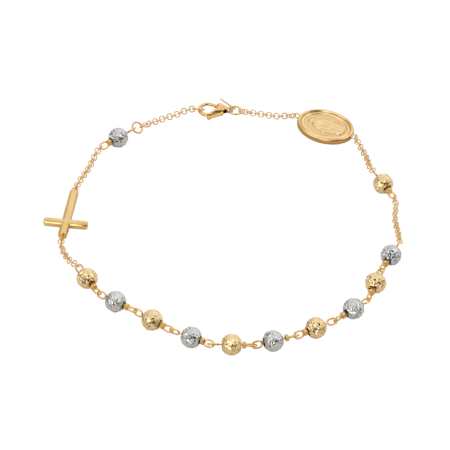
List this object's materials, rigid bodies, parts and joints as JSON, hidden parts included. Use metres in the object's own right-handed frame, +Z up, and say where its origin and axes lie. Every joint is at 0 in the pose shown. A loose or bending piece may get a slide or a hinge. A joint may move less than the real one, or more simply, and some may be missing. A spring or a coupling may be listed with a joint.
{
  "type": "rosary bracelet",
  "caption": "Rosary bracelet lying open as a loop: gold and silver-coloured beads on wrapped wire pins, fine round-link chain, tube cross, oval medal and lobster clasp",
  "frame": {"origin": "centre of the bounding box in plan, on the surface that the bracelet lies on", "axes": "+Z up from the surface, +X to the right and +Y away from the viewer, so that the clasp is at the far side, the cross at the left and the ten beads at the near side"},
  "size_m": [0.0618, 0.0644, 0.0036],
  "materials": {
    "yellow_gold": "polished",
    "white_gold": "polished"
  },
  "bodies": {
    "bracelet": {"bead_left": "white_gold", "bead_01": "yellow_gold", "bead_02": "white_gold", "bead_03": "yellow_gold", "bead_04": "white_gold", "bead_05": "yellow_gold", "bead_06": "white_gold", "bead_07": "yellow_gold", "bead_08": "white_gold", "bead_09": "yellow_gold", "bead_10": "white_gold", "bead_right": "yellow_gold", "pin_left": "yellow_gold", "pin_01": "yellow_gold", "pin_02": "yellow_gold", "pin_03": "yellow_gold", "pin_04": "yellow_gold", "pin_05": "yellow_gold", "pin_06": "yellow_gold", "pin_07": "yellow_gold", "pin_08": "yellow_gold", "pin_09": "yellow_gold", "pin_10": "yellow_gold", "pin_right": "yellow_gold", "chain_clasp_left": "yellow_gold", "chain_above_cross": "yellow_gold", "chain_below_cross": "yellow_gold", "chain_right": "yellow_gold", "chain_below_medal": "yellow_gold", "chain_clasp_right": "yellow_gold", "cross": "yellow_gold", "medal": "yellow_gold", "clasp_body": "yellow_gold", "tag": "yellow_gold", "ring_hook": "yellow_gold", "ring_tail": "yellow_gold", "ring_left": "yellow_gold"},
    "clasp_lever": {"clasp_lever": "yellow_gold"}
  },
  "joints": [
    {"name": "clasp_lever_hinge", "type": "hinge", "parent": "bracelet", "child": "clasp_lever", "pos_m": [-0.00023, 0.02971, 0.0008], "axis": [0, 0, 1], "range_deg": [0, 25], "stiffness_Nm_per_rad": 0.004, "springref_deg": -5.73}
  ]
}
